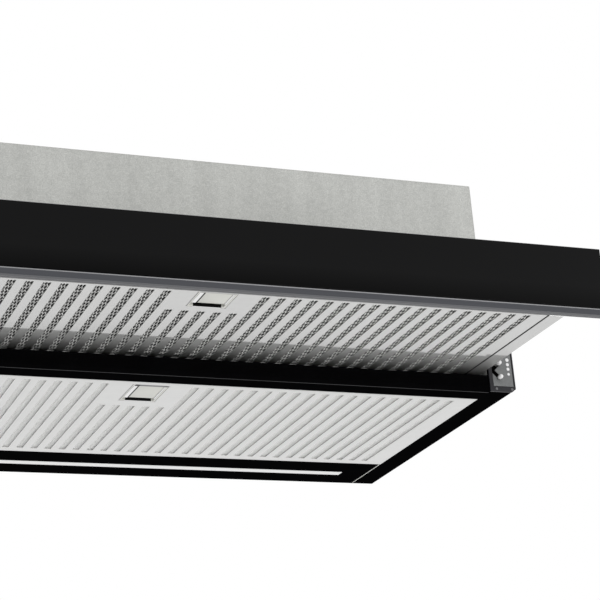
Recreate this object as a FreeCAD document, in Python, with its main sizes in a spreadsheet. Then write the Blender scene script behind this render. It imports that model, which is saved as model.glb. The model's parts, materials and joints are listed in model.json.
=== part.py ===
"""Telescopic under cabinet range hood, 60 cm class, in millimetres.

The origin is the axis of the round duct spigot at the top face of the steel housing.
+X points to the right of a person standing in front of the hood, +Y to the wall and +Z up.
The front drawer is modelled pulled out, which is how the hood is used.
"""
import FreeCAD, Part
import math
import os
import re

import Sketcher

DIMENSIONS = {
    # fixed hood body
    "body_width": 590,
    "body_depth": 274.5,
    "body_height": 60,
    "steel": 1,
    "bend": 2.6,
    "inner_bend": 2,
    "front_lip": 13.6,
    "lip_return": 8,
    "opening_half": 272.8,
    "front_border": 19.8,
    "drawer_headroom": 8.6,
    "cheek_half": 273.4,
    "cheek_foot": 12,
    # galvanised housing
    "box_width": 560,
    "box_depth": 268,
    "box_height": 122,
    "box_flange": 11,
    "cabinet_hole": 2.25,
    "cabinet_hole_pitch": 200,
    "cabinet_hole_drop": 95,
    "gland_x": 200,
    "gland_y": 90,
    "cable_hole": 10,
    # pull-out drawer, pulled out by its whole travel
    "step": 15.4,
    "reach": 138.5,
    "travel": 122,
    "rail_inner": 256,
    "rail_outer": 268.6,
    "rail_wall": 259.2,
    "rail_skin": 1.2,
    "rail_length": 269.7,
    "drawer_height": 33,
    "cover_skin": 1,
    "cover_length": 145,
    # glass front
    "glass_width": 603,
    "glass_height": 48,
    "glass_skin": 4,
    "trim_depth": 8,
    "trim_height": 4.8,
    "trim_web": 1.2,
    "cap_skin": 0.5,
    "tape_skin": 1,
    "buffer_radius": 4,
    "buffer_length": 10.7,
    # grease filters
    "filter_tall": 9,
    "filter_skin": 0.8,
    "filter_wall": 1,
    "slot_pitch": 12,
    "slot_wide": 5.5,
    "front_half": 255,
    "front_deep": 139.2,
    "front_tail": 11.5,
    "rear_half": 272.4,
    "rear_deep": 192.5,
    "hem_radius": 2.3,
    "pin_radius": 1,
    "pin_gap": 0.05,
    "retainer_skin": 0.8,
    "mesh_skin": 1.2,
    # latches
    "latch_half": 14.6,
    "latch_wall": 1.8,
    "latch_tall": 7.4,
    "latch_travel": 3.5,
    # light
    "panel_half": 271.6,
    "panel_deep": 60.6,
    "lens_half": 248,
    "lens_wide": 9.6,
    "lens_back": 26.8,
    # controls
    "bezel_outer": 296,
    "bezel_skin": 1.5,
    "fascia_inner": 276.6,
    "fascia_outer": 294.4,
    "fascia_foot": 4.6,
    "fascia_head": 1.8,
    "knob_x": 282.4,
    "knob_rise": 17.75,
    "arm": 5.85,
    "arm_half": 2.4,
    "arm_radius": 1.7,
    "knob_radius": 1.9,
    "knob_stem": 1.2,
    # ball slides
    "slide_tall": 27,
    "slide_lift": 4,
    "slide_skin": 1.2,
    "slide_length": 268,
    "slide_lead": 3.5,
    # duct
    "spigot_radius": 60,
    "spigot_skin": 1.6,
    "spigot_tall": 34,
    "flap_radius": 57.6,
    "flap_skin": 1.2,
    "flap_height": 15,
    "damper_pin_radius": 1.5,
    "knuckle_radius": 2.8,
    "duct_half": 64,
    "duct_skin": 1.2,
    # blower
    "blower_x": -160,
    "blower_y": 34,
    "blower_tall": 94,
    "scroll_radius": 98,
    "scroll_step": 10,
    "scroll_skin": 1.2,
    "wheel_radius": 60,
    "wheel_blade": 10,
    "wheel_tall": 76,
    "wheel_middle": 74,
    "blade_count": 36,
    "intake_radius": 52,
    "motor_radius": 40,
    "shaft_radius": 4,
}

# places worked out from the driving dimensions
BODY_FRONT = "(box_depth / 2 - body_depth)"
BODY_REAR = "(box_depth / 2)"
BODY_TOP = "(-box_height)"
BODY_BOTTOM = "(-box_height - body_height)"
DRAWER_BOTTOM = f"({BODY_BOTTOM} + step)"
GLASS_FRONT = f"({BODY_FRONT} - reach)"
TRIM_REAR = f"({GLASS_FRONT} + trim_depth)"
WHEEL_X = "(blower_x - scroll_step / 2)"
WHEEL_Y = "(blower_y + scroll_step / 2)"
SPIGOT_BORE = "(spigot_radius - spigot_skin)"
GAP = 0.3

doc = FreeCAD.newDocument("range_hood")
sheet = doc.addObject("Spreadsheet::Sheet", "dims")
for row, (alias, number) in enumerate(DIMENSIONS.items(), start=1):
    sheet.set(f"A{row}", alias)
    sheet.set(f"B{row}", str(number))
    sheet.setAlias(f"B{row}", alias)
doc.recompute()

nodes = []


def bind(text):
    """Turn words of an expression into references to the sheet's cells."""
    return re.sub(r"[a-z]\w*", lambda word: "dims." + word.group(0), str(text))


def keep(thing, label):
    """Give a finished sub-part its name and list it for export."""
    thing.Label = label
    nodes.append(thing)
    return thing


# ---------------------------------------------------------------- primitives


def place(thing, x=None, y=None, z=None):
    """Bind the placement of a primitive or a body to the sheet."""
    for axis, text in (("x", x), ("y", y), ("z", z)):
        if text is not None:
            thing.setExpression(f"Placement.Base.{axis}", bind(text))
    return thing


def box(x, y, z):
    """Box between pairs of places along X, Y and Z."""
    block = doc.addObject("Part::Box", "block")
    for name, (low, high) in (("Length", x), ("Width", y), ("Height", z)):
        block.setExpression(name, bind(f"({high}) - ({low})"))
    return place(block, x[0], y[0], z[0])


ALONG = {
    "X": FreeCAD.Rotation(FreeCAD.Vector(0, 1, 0), 90),
    "Y": FreeCAD.Rotation(FreeCAD.Vector(1, 0, 0), -90),
    "Z": FreeCAD.Rotation(),
}


def rod(x, y, z, radius, length, axis="Z"):
    """Cylinder that starts at a point and runs along +X, +Y or +Z."""
    cylinder = doc.addObject("Part::Cylinder", "rod")
    cylinder.Placement.Rotation = ALONG[axis]
    cylinder.setExpression("Radius", bind(radius))
    cylinder.setExpression("Height", bind(length))
    return place(cylinder, x, y, z)


def fuse(*shapes):
    """Union of several shapes."""
    joined = doc.addObject("Part::MultiFuse", "joined")
    joined.Shapes = list(shapes)
    joined.Refine = True
    return joined


def cut(base, *tools):
    """Base shape with one or more tools taken away."""
    result = doc.addObject("Part::Cut", "cut")
    result.Base = base
    result.Tool = tools[0] if len(tools) == 1 else fuse(*tools)
    result.Refine = True
    return result


def gather(*shapes):
    """Several identical pieces that share one sub-part."""
    group = doc.addObject("Part::Compound", "group")
    group.Links = list(shapes)
    return group


def across(half):
    """Interval centred on the hood's middle plane."""
    return f"-({half})", f"{half}"


def sided(side, low, high):
    """Interval on the right (+1) or mirrored on the left (-1)."""
    return (low, high) if side > 0 else (f"-({high})", f"-({low})")


# ---------------------------------------------------------------- part design


def origin_feature(body, role):
    """Origin plane or axis of a body, by its role."""
    return next(item for item in body.Origin.OriginFeatures if item.Role == role)


def new_body():
    """Empty PartDesign body."""
    return doc.addObject("PartDesign::Body", "body")


def new_sketch(body, plane):
    """Sketch on one of the body's origin planes."""
    sketch = body.newObject("Sketcher::SketchObject", "sketch")
    sketch.AttachmentSupport = [(origin_feature(body, plane), "")]
    sketch.MapMode = "FlatFace"
    return sketch


def add_polygon(sketch, points):
    """Closed outline whose corners are bound to the sheet."""
    first = sketch.GeometryCount
    count = len(points)
    start = [FreeCAD.Vector(math.cos(math.tau * i / count), math.sin(math.tau * i / count), 0)
             for i in range(count)]
    for i in range(count):
        sketch.addGeometry(Part.LineSegment(start[i], start[(i + 1) % count]))
    for i, corner in enumerate(points):
        before = first + (i - 1) % count
        sketch.addConstraint(Sketcher.Constraint("Coincident", before, 2, first + i, 1))
        for kind, text, now in zip(("DistanceX", "DistanceY"), corner, start[i]):
            made = Sketcher.Constraint(kind, -1, 1, first + i, 1, now)
            number = sketch.addConstraint(made)
            sketch.setExpression(f"Constraints[{number}]", bind(text))


def add_circle(sketch, x, y, radius):
    """Circle whose centre and radius are bound to the sheet."""
    centre = FreeCAD.Vector(1, 1, 0)
    circle = sketch.addGeometry(Part.Circle(centre, FreeCAD.Vector(0, 0, 1), 1))
    for kind, text in (("DistanceX", x), ("DistanceY", y)):
        number = sketch.addConstraint(Sketcher.Constraint(kind, -1, 1, circle, 3, 1))
        sketch.setExpression(f"Constraints[{number}]", bind(text))
    number = sketch.addConstraint(Sketcher.Constraint("Radius", circle, 1))
    sketch.setExpression(f"Constraints[{number}]", bind(radius))


def rectangle(x, y):
    """Corners of a rectangle between two places along each sketch axis."""
    return [(x[0], y[0]), (x[1], y[0]), (x[1], y[1]), (x[0], y[1])]


def pad(body, plane, outline, length, midplane=False, reverse=False):
    """Pad of one closed outline."""
    sketch = new_sketch(body, plane)
    add_polygon(sketch, outline)
    feature = body.newObject("PartDesign::Pad", "pad")
    feature.Profile = sketch
    feature.Midplane = midplane
    feature.Reversed = reverse
    feature.setExpression("Length", bind(length))
    return feature


def pocket(body, plane, outlines, circles=()):
    """Pocket of closed outlines and circles right through the body, both ways."""
    sketch = new_sketch(body, plane)
    for outline in outlines:
        add_polygon(sketch, outline)
    for circle in circles:
        add_circle(sketch, *circle)
    feature = body.newObject("PartDesign::Pocket", "pocket")
    feature.Profile = sketch
    feature.Type = "ThroughAll"
    feature.Midplane = True
    return feature


def repeat(body, feature, axis, count, length, reverse=False):
    """Linear pattern of a feature along one of the body's origin axes."""
    pattern = body.newObject("PartDesign::LinearPattern", "row")
    pattern.Originals = [feature]
    pattern.Direction = (origin_feature(body, axis), [""])
    pattern.Reversed = reverse
    pattern.setExpression("Length", bind(length))
    pattern.Occurrences = count
    body.Tip = pattern
    return pattern


def profile_along_x(label, outline, half, z=None):
    """Constant profile in Y and Z, as long to the left as to the right."""
    body = new_body()
    pad(body, "YZ_Plane", outline, f"2 * ({half})", midplane=True)
    place(body, z=z)
    return keep(body, label)


def profile_along_y(label, outline, front, length):
    """Constant profile in X and Z that starts at a place along Y."""
    body = new_body()
    pad(body, "XZ_Plane", outline, length, reverse=True)
    place(body, y=front)
    return keep(body, label)


def turned(label, outlines, x, y, z, plane="XZ_Plane"):
    """Solid of revolution about the vertical sketch axis, placed at a point."""
    body = new_body()
    sketch = new_sketch(body, plane)
    for outline in outlines:
        add_polygon(sketch, outline)
    feature = body.newObject("PartDesign::Revolution", "turned")
    feature.Profile = sketch
    feature.ReferenceAxis = (sketch, ["V_Axis"])
    feature.Angle = 360
    place(body, x, y, z)
    return keep(body, label)


# ---------------------------------------------------------------- fixed body


def make_housing():
    """Galvanised housing: a top sheet on four angle sheets, open below."""
    top = box(across("box_width / 2"), across("box_depth / 2"), ("-steel", "0"))
    duct_hole = rod("0", "0", "-2 * steel", SPIGOT_BORE, "3 * steel")
    cable_hole = rod("gland_x", "gland_y", "-2 * steel", "cable_hole", "3 * steel")
    sheets = [cut(top, duct_hole, cable_hole)]
    for side in (-1, 1):
        wall = f"({side} * box_depth / 2)"
        skin = f"{wall} - {side} * steel"
        flange = f"{wall} - {side} * box_flange"
        sheet = new_body()
        pad(sheet, "YZ_Plane",
            [(wall, BODY_TOP), (wall, "-steel"), (skin, "-steel"), (skin, f"{BODY_TOP} + steel"),
             (flange, f"{BODY_TOP} + steel"), (flange, BODY_TOP)], "box_width", midplane=True)
        sheets.append(sheet)
    for side in (-1, 1):
        wall = f"({side} * box_width / 2)"
        skin = f"{wall} - {side} * steel"
        flange = f"{wall} - {side} * box_flange"
        sheet = new_body()
        pad(sheet, "XZ_Plane",
            [(wall, BODY_TOP), (wall, "-steel"), (skin, "-steel"), (skin, f"{BODY_TOP} + steel"),
             (flange, f"{BODY_TOP} + steel"), (flange, BODY_TOP)],
            "box_depth - 2 * steel", midplane=True)
        ends = [box(sided(side, "box_width / 2 - box_flange - 1", "box_width / 2 - steel"), end,
                    (f"{BODY_TOP} - 1", f"{BODY_TOP} + steel"))
                for end in (("-box_depth / 2", "-box_depth / 2 + box_flange"),
                            ("box_depth / 2 - box_flange", "box_depth / 2"))]
        holes = [rod(f"{side} * box_width / 2 - 5", f"{end} * cabinet_hole_pitch / 2",
                     "-cabinet_hole_drop", "cabinet_hole", "10", "X") for end in (-1, 1)]
        sheets.append(cut(sheet, *ends, *holes))
    keep(gather(*sheets), "housing_box")


def make_partition():
    """Steel plate that closes the lower body and carries the housing and blower."""
    plate = box(across("body_width / 2 - steel"),
                (f"{BODY_FRONT} + steel", f"{BODY_REAR} - steel"),
                (f"{BODY_TOP} - steel", BODY_TOP))
    intake = rod(WHEEL_X, WHEEL_Y, f"{BODY_TOP} - 5", "intake_radius", "10")
    keep(cut(plate, intake), "partition_plate")


def folded_block(inset, bevel, top):
    """Block of the lower body, set in all round, with bevelled front and side bottom edges."""
    half = f"(body_width / 2 - {inset})"
    low = f"({BODY_BOTTOM} + {inset})"
    front = f"({BODY_FRONT} + {inset})"
    rear = f"({BODY_REAR} - {inset})"
    across_x = new_body()
    pad(across_x, "XZ_Plane",
        [(f"-{half}", f"{low} + {bevel}"), (f"-{half} + {bevel}", low), (f"{half} - {bevel}", low),
         (half, f"{low} + {bevel}"), (half, top), (f"-{half}", top)],
        "2 * body_depth", midplane=True)
    across_y = new_body()
    pad(across_y, "YZ_Plane",
        [(front, f"{low} + {bevel}"), (f"{front} + {bevel}", low), (rear, low), (rear, top),
         (front, top)],
        "2 * body_width", midplane=True)
    block = doc.addObject("Part::MultiCommon", "folded_block")
    block.Shapes = [across_x, across_y]
    return block


def make_lower_body():
    """Black steel tray, open where the drawer, rear filter and light panel sit."""
    outer = folded_block("0", "bend", BODY_TOP)
    room = folded_block("steel", "inner_bend", f"{BODY_TOP} + 5")
    floor = box(across("opening_half"),
                (f"{BODY_FRONT} + front_border", f"{BODY_REAR} - steel"),
                (f"{BODY_BOTTOM} - 5", f"{BODY_BOTTOM} + 5"))
    mouth = box(across("opening_half"), (f"{BODY_FRONT} - 5", f"{BODY_FRONT} + 5"),
                (f"{BODY_BOTTOM} + front_lip", f"{BODY_TOP} - drawer_headroom"))
    switch = box(("fascia_inner", "fascia_outer - 2"), (f"{BODY_FRONT} - 5", f"{BODY_FRONT} + 5"),
                 (f"{BODY_BOTTOM} + knob_rise - 9", f"{BODY_BOTTOM} + knob_rise + 9"))
    shell = cut(outer, room, floor, mouth, switch)
    lip = box(across("opening_half"), (BODY_FRONT, f"{BODY_FRONT} + lip_return"),
              (f"{BODY_BOTTOM} + front_lip - steel", f"{BODY_BOTTOM} + front_lip"))
    keep(fuse(shell, lip), "lower_body")


def make_cheeks():
    """Inner side plates that carry the drawer slides and the rear filter's pins."""
    for name, side in (("left", -1), ("right", 1)):
        low = f"{BODY_BOTTOM} + steel"
        inner = f"{side} * cheek_half"
        skin = f"{side} * (cheek_half + steel)"
        foot = f"{side} * (cheek_half + cheek_foot)"
        outline = [(inner, low), (foot, low), (foot, f"{low} + steel"), (skin, f"{low} + steel"),
                   (skin, f"{BODY_TOP} - steel"), (inner, f"{BODY_TOP} - steel")]
        profile_along_y(f"cheek_{name}", outline, f"{BODY_FRONT} + steel + inner_bend",
                        "body_depth - 2 * steel - inner_bend")


# ---------------------------------------------------------------- light

PANEL_FRONT = f"({BODY_REAR} - steel - panel_deep)"
LENS_FRONT = f"({PANEL_FRONT} + lens_back)"


def make_rear_light_panel():
    """Folded strip behind the rear filter with a slot for the light lens."""
    front = PANEL_FRONT
    rear = f"{PANEL_FRONT} + panel_deep - {GAP}"
    outline = [(front, "0"), (rear, "0"), (rear, "8"), (f"{rear} - steel", "8"),
               (f"{rear} - steel", "steel"), (f"{front} + steel", "steel"),
               (f"{front} + steel", "8"), (front, "8")]
    body = new_body()
    pad(body, "YZ_Plane", outline, "2 * panel_half", midplane=True)
    slot = rectangle(across(f"lens_half + {GAP}"),
                     (f"{LENS_FRONT} - {GAP}", f"{LENS_FRONT} + lens_wide + {GAP}"))
    pocket(body, "XY_Plane", [slot])
    place(body, z=BODY_BOTTOM)
    keep(body, "rear_light_panel")


def make_light():
    """Milky lens with a wider back, and the strip of light diodes on it."""
    front = LENS_FRONT
    rear = f"{LENS_FRONT} + lens_wide"
    outline = [(front, "0.1"), (rear, "0.1"), (rear, "steel"), (f"{rear} + 3", "steel"),
               (f"{rear} + 3", "2.4"), (f"{front} - 3", "2.4"), (f"{front} - 3", "steel"),
               (front, "steel")]
    profile_along_x("light_lens", outline, "lens_half", BODY_BOTTOM)
    board = new_body()
    pad(board, "XY_Plane", rectangle(across("lens_half - 2"), (front, rear)), "1.6")
    diode = pad(board, "XY_Plane",
                rectangle(("-lens_half + 9", "-lens_half + 12"), (f"{front} + 3.3", f"{front} + 6.3")),
                "2.4")
    repeat(board, diode, "X_Axis", 24, "2 * lens_half - 21")
    place(board, z=f"{BODY_BOTTOM} + 2.4")
    keep(board, "led_board")
    driver = box(("205", "265"), ("-60", "-20"), (BODY_TOP, f"{BODY_TOP} + 25"))
    keep(driver, "led_driver")


# ---------------------------------------------------------------- controls

KNOB_Z = f"({BODY_BOTTOM} + knob_rise)"


def forked_slot(body):
    """Two slanted slots that meet at their inner end, through the body's plate."""
    inner = "knob_x - arm"
    pocket(body, "XZ_Plane", [[
        (f"{inner} - arm_half", "0"), (f"{inner} - arm_half + arm", "-arm"),
        (f"{inner} + arm_half + arm", "-arm"), (f"{inner} + arm_half", "0"),
        (f"{inner} + arm_half + arm", "arm"), (f"{inner} - arm_half + arm", "arm")]])
    for x, z in ((inner, "0"), ("knob_x", "arm"), ("knob_x", "-arm")):
        pocket(body, "XZ_Plane", [], [(x, z, "arm_radius")])


def make_control_panel():
    """Dark corner bezel, grey fascia and the switch block behind it."""
    window = rectangle((f"fascia_inner - {GAP}", f"fascia_outer + {GAP}"),
                       (f"{BODY_BOTTOM} + fascia_foot - {GAP}", f"{BODY_TOP} - fascia_head + {GAP}"))
    frame = new_body()
    pad(frame, "XZ_Plane",
        [("cheek_half", BODY_BOTTOM), ("bezel_outer - bend - 1", BODY_BOTTOM),
         ("bezel_outer", f"{BODY_BOTTOM} + bend"), ("bezel_outer", BODY_TOP),
         ("cheek_half", BODY_TOP)], "bezel_skin")
    pocket(frame, "XZ_Plane", [window])
    pad(frame, "XZ_Plane",
        rectangle(("body_width / 2", "bezel_outer"), (f"{BODY_BOTTOM} + bend", BODY_TOP)), "12",
        reverse=True)
    place(frame, y=BODY_FRONT)
    keep(frame, "control_bezel")

    fascia = new_body()
    low = f"{BODY_BOTTOM} + fascia_foot - {KNOB_Z}"
    high = f"{BODY_TOP} - fascia_head - {KNOB_Z}"
    pad(fascia, "XZ_Plane", rectangle(("fascia_inner", "fascia_outer"), (low, high)), "steel")
    forked_slot(fascia)
    place(fascia, y=f"{BODY_FRONT} - {GAP}", z=KNOB_Z)
    keep(fascia, "control_fascia")

    block = new_body()
    outline = rectangle((f"fascia_inner + {GAP}", f"fascia_outer - 2 - {GAP}"), ("-8.7", "8.7"))
    pad(block, "XZ_Plane", outline, "3.6", reverse=True)
    forked_slot(block)
    back = pad(block, "XZ_Plane", outline, "18", reverse=True)
    back.Profile[0].AttachmentOffset = FreeCAD.Placement(FreeCAD.Vector(0, 0, -3.6),
                                                        FreeCAD.Rotation())
    place(block, y=f"{BODY_FRONT} - {GAP}", z=KNOB_Z)
    keep(block, "switch_block")


def make_knobs():
    """Two round slider knobs, each with a stem into the forked slot."""
    outline = [("0", "0"), ("knob_stem", "0"), ("knob_stem", "4.4"), ("knob_radius", "4.4"),
               ("knob_radius", "7.6"), ("knob_radius - 0.7", "8.6"), ("0", "8.6")]
    for name, side in (("fan", 1), ("light", -1)):
        knob = turned(f"{name}_switch_knob", [outline], "knob_x", f"{BODY_FRONT} + 2.6",
                      f"{KNOB_Z} + {side} * arm")
        knob.Placement.Rotation = FreeCAD.Rotation(FreeCAD.Vector(1, 0, 0), 90)


def make_microswitch():
    """Switch on the rear wall that the closed drawer's left rail reaches."""
    rear = f"{BODY_REAR} - steel"
    case = box(("-265", "-257"), (f"{rear} - 10", rear),
               (f"{DRAWER_BOTTOM} + 8", f"{DRAWER_BOTTOM} + 22"))
    lever = box(("-263", "-259"), (f"{rear} - 11", f"{rear} - 10"),
                (f"{DRAWER_BOTTOM} + 9", f"{DRAWER_BOTTOM} + 20"))
    keep(fuse(case, lever), "microswitch")


# ---------------------------------------------------------------- duct and dampers


def make_spigot():
    """Round duct spigot on the housing's top, with a ledge inside for the flaps."""
    inner = SPIGOT_BORE
    ledge = "flap_height - flap_skin / 2"
    outline = [(inner, "0"), ("spigot_radius", "0"), ("spigot_radius", "spigot_tall"),
               (inner, "spigot_tall"),
               (inner, ledge), ("flap_radius - 1.6", ledge),
               ("flap_radius - 1.6", f"{ledge} - 1.2"), (inner, f"{ledge} - 1.2")]
    body = new_body()
    sketch = new_sketch(body, "XZ_Plane")
    add_polygon(sketch, outline)
    tube = body.newObject("PartDesign::Revolution", "tube")
    tube.Profile = sketch
    tube.ReferenceAxis = (sketch, ["V_Axis"])
    tube.Angle = 360
    pocket(body, "YZ_Plane", [], [("0", "flap_height", "damper_pin_radius")])
    pocket(body, "YZ_Plane", [rectangle(("-3.4", "3.4"), ("flap_height - 3.4", "flap_height"))])
    keep(body, "duct_spigot")
    pin = rod("-spigot_radius + 0.2", "0", "flap_height", "damper_pin_radius",
              "2 * spigot_radius - 0.4", "X")
    keep(pin, "damper_pin")


def make_flaps():
    """Two half-round flaps whose knuckles share the damper pin."""
    bore = "damper_pin_radius + 0.05"
    for name, side, starts in (("front", -1, (-50, 14)), ("rear", 1, (-28, 36))):
        disc = rod("0", "0", "flap_height - flap_skin / 2", "flap_radius", "flap_skin")
        y = ("-70", f"-{GAP}") if side < 0 else (GAP, "70")
        half = box(across("70"), y, ("0", "spigot_tall"))
        plate = doc.addObject("Part::Common", "half_disc")
        plate.Base = disc
        plate.Tool = half
        room = rod("-65", "0", "flap_height", "knuckle_radius + 0.3", "130", "X")
        webs = []
        knuckles = []
        for start in starts:
            knuckles.append(rod(start, "0", "flap_height", "knuckle_radius", "14", "X"))
            span = ("-3.6", "0") if side < 0 else ("0", "3.6")
            webs.append(box((start, start + 14), span,
                            ("flap_height - flap_skin / 2", "flap_height + flap_skin / 2")))
        solid = fuse(cut(plate, room), *webs, *knuckles)
        hole = rod("-65", "0", "flap_height", bore, "130", "X")
        keep(cut(solid, hole), f"damper_flap_{name}")


def make_discharge_duct():
    """Square duct under the spigot, open on the left to the blower."""
    low = "-box_height + steel"
    outer = box(across("duct_half"), across("duct_half"), (low, "-steel"))
    room = box(across("duct_half - duct_skin"), across("duct_half - duct_skin"),
               (f"{low} + duct_skin", "-steel - duct_skin"))
    inlet = box(("-duct_half - 5", "-duct_half + 5"),
                ("-duct_half + duct_skin", "blower_y - 25"),
                (f"{BODY_TOP} + 4", f"{BODY_TOP} + blower_tall - 4"))
    outlet = rod("0", "0", "-10", SPIGOT_BORE, "12")
    keep(cut(outer, room, inlet, outlet), "discharge_duct")


# ---------------------------------------------------------------- blower


def cell(alias):
    """Value of a cell of the sheet."""
    return float(sheet.get(alias))


def scroll_face():
    """Face of the scroll: four arcs of falling radius and a straight outlet."""
    x, y = cell("blower_x"), cell("blower_y")
    radius, fall = cell("scroll_radius"), cell("scroll_step")
    mouth = -cell("duct_half")
    centres = ((x, y), (x - fall, y), (x - fall, y + fall), (x, y + fall))
    turn = (270, 180, 90, 0, -40)
    edges = []
    joints = []
    for i, (cx, cy) in enumerate(centres):
        reach = radius - fall * i
        points = []
        for angle in (turn[i], (turn[i] + turn[i + 1]) / 2, turn[i + 1]):
            heading = math.radians(angle)
            points.append(FreeCAD.Vector(cx + reach * math.cos(heading),
                                         cy + reach * math.sin(heading), 0))
        edges.append(Part.Arc(*points).toShape())
        joints += [points[0], points[2]]
    upper = FreeCAD.Vector(mouth, y - 24, 0)
    lower = FreeCAD.Vector(mouth, joints[0].y, 0)
    edges.append(Part.LineSegment(joints[-1], upper).toShape())
    edges.append(Part.LineSegment(upper, lower).toShape())
    edges.append(Part.LineSegment(lower, joints[0]).toShape())
    return Part.Face(Part.Wire(edges))


def make_blower():
    """Scroll casing with a floor, its cover and the ring around the intake."""
    face = scroll_face()
    skin, tall = cell("scroll_skin"), cell("blower_tall")
    base = -cell("box_height")
    wheel_x = cell("blower_x") - cell("scroll_step") / 2
    wheel_y = cell("blower_y") + cell("scroll_step") / 2
    up = FreeCAD.Vector(0, 0, 1)
    solid = face.extrude(up * tall)
    inner = face.makeOffset2D(-skin).extrude(up * tall)
    inner.translate(up * skin)
    mouth = Part.makeBox(6, cell("duct_half") + cell("blower_y") - 24 - 2 * skin, tall,
                         FreeCAD.Vector(-cell("duct_half") - 5, -cell("duct_half") + skin, skin))
    intake = Part.makeCylinder(cell("intake_radius"), 10, FreeCAD.Vector(wheel_x, wheel_y, -5))
    casing = doc.addObject("Part::Feature", "casing")
    casing.Shape = solid.cut([inner, mouth, intake]).removeSplitter()
    casing.Placement = FreeCAD.Placement(FreeCAD.Vector(0, 0, base), FreeCAD.Rotation())
    keep(casing, "blower_casing")

    cover = doc.addObject("Part::Feature", "cover")
    vent = Part.makeCylinder(2 * cell("shaft_radius"), 10, FreeCAD.Vector(wheel_x, wheel_y, -5))
    cover.Shape = face.extrude(up * skin).cut(vent)
    cover.Placement = FreeCAD.Placement(FreeCAD.Vector(0, 0, base + tall), FreeCAD.Rotation())
    keep(cover, "blower_cover")

    outline = [("intake_radius - 2", "-2.2"), ("intake_radius + 8", "-2.2"),
               ("intake_radius + 8", "-steel"), ("intake_radius", "-steel"),
               ("intake_radius - 3", "8"), ("intake_radius - 5", "8")]
    turned("inlet_ring", [outline], WHEEL_X, WHEEL_Y, BODY_TOP)


def make_impeller():
    """Drum wheel: hub disc at half height, blades and two end rings."""
    wheel = new_body()
    sketch = new_sketch(wheel, "XY_Plane")
    add_circle(sketch, "0", "0", "wheel_radius")
    add_circle(sketch, "0", "0", "shaft_radius")
    disc = wheel.newObject("PartDesign::Pad", "disc")
    disc.Profile = sketch
    disc.Midplane = True
    disc.Length = 2
    inner = "wheel_radius - wheel_blade + 0.3"
    outer = "wheel_radius - 0.4"
    blade = pad(wheel, "XY_Plane",
                [(inner, "-2.4"), (outer, "1.6"), (outer, "2.6"), (inner, "-1.4")],
                "wheel_tall", midplane=True)
    doc.recompute()
    around = wheel.newObject("PartDesign::PolarPattern", "blades")
    around.Originals = [blade]
    around.Axis = (origin_feature(wheel, "Z_Axis"), [""])
    around.Angle = 360
    around.setExpression("Occurrences", bind("blade_count"))
    wheel.Tip = around
    sketch = new_sketch(wheel, "XZ_Plane")
    radii = ("wheel_radius - wheel_blade", "wheel_radius")
    add_polygon(sketch, rectangle(radii, ("wheel_tall / 2 - 2", "wheel_tall / 2")))
    add_polygon(sketch, rectangle(radii, ("-wheel_tall / 2", "2 - wheel_tall / 2")))
    add_polygon(sketch, rectangle(("shaft_radius", "2 * shaft_radius"), ("-8", "-0.5")))
    rings = wheel.newObject("PartDesign::Revolution", "rings")
    rings.Profile = sketch
    rings.ReferenceAxis = (sketch, ["V_Axis"])
    rings.Angle = 360
    place(wheel, WHEEL_X, WHEEL_Y, "-wheel_middle")
    keep(wheel, "impeller")
    keep(rod(WHEEL_X, WHEEL_Y, "-wheel_middle - 10", "shaft_radius", "36"), "motor_shaft")


def make_motor():
    """Motor can under the casing's cover, with a bore that the shaft runs in."""
    top = f"({BODY_TOP} + blower_tall)"
    can = rod(WHEEL_X, WHEEL_Y, "-wheel_middle + 4", "motor_radius", f"{top} + wheel_middle - 4")
    bore = rod(WHEEL_X, WHEEL_Y, "-wheel_middle", "shaft_radius + 0.06", "34")
    keep(cut(can, bore), "motor")
    heads = [rod(f"{WHEEL_X} + {x}", f"{WHEEL_Y} + {y}", f"{top} + scroll_skin", "4", "2.4")
             for x, y in ((28, 0), (-14, 24.2), (-14, -24.2))]
    keep(gather(*heads), "motor_screws")


def make_electrics():
    """Capacitor, terminal box with lid and the gland for the supply cable."""
    base = BODY_TOP
    keep(rod("100", "-95", f"{base} + 16", "16", "60", "X"), "capacitor")
    outer = box(("155", "245"), ("55", "120"), (base, f"{base} + 40"))
    room = box(("157", "243"), ("57", "118"), (f"{base} + 2", f"{base} + 45"))
    keep(cut(outer, room), "terminal_box")
    keep(box(("154", "246"), ("54", "121"), (f"{base} + 40", f"{base} + 42.5")), "terminal_box_lid")
    nut = doc.addObject("Part::Prism", "nut")
    nut.Polygon = 6
    nut.Circumradius = 15
    nut.Height = 6
    place(nut, "gland_x", "gland_y", "0")
    thread = rod("gland_x", "gland_y", "-8", "cable_hole", "9")
    dome = rod("gland_x", "gland_y", "5", "11", "13")
    hole = rod("gland_x", "gland_y", "-10", "4.5", "30")
    keep(cut(fuse(nut, thread, dome), hole), "cable_gland")
    heads = [rod(x, f"{side} * (box_depth / 2 - 7)", f"{base} + steel", "3.5", "2")
             for x in (-268, 60, 268) for side in (-1, 1)]
    keep(gather(*heads), "housing_screws")


# ---------------------------------------------------------------- drawer


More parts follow.
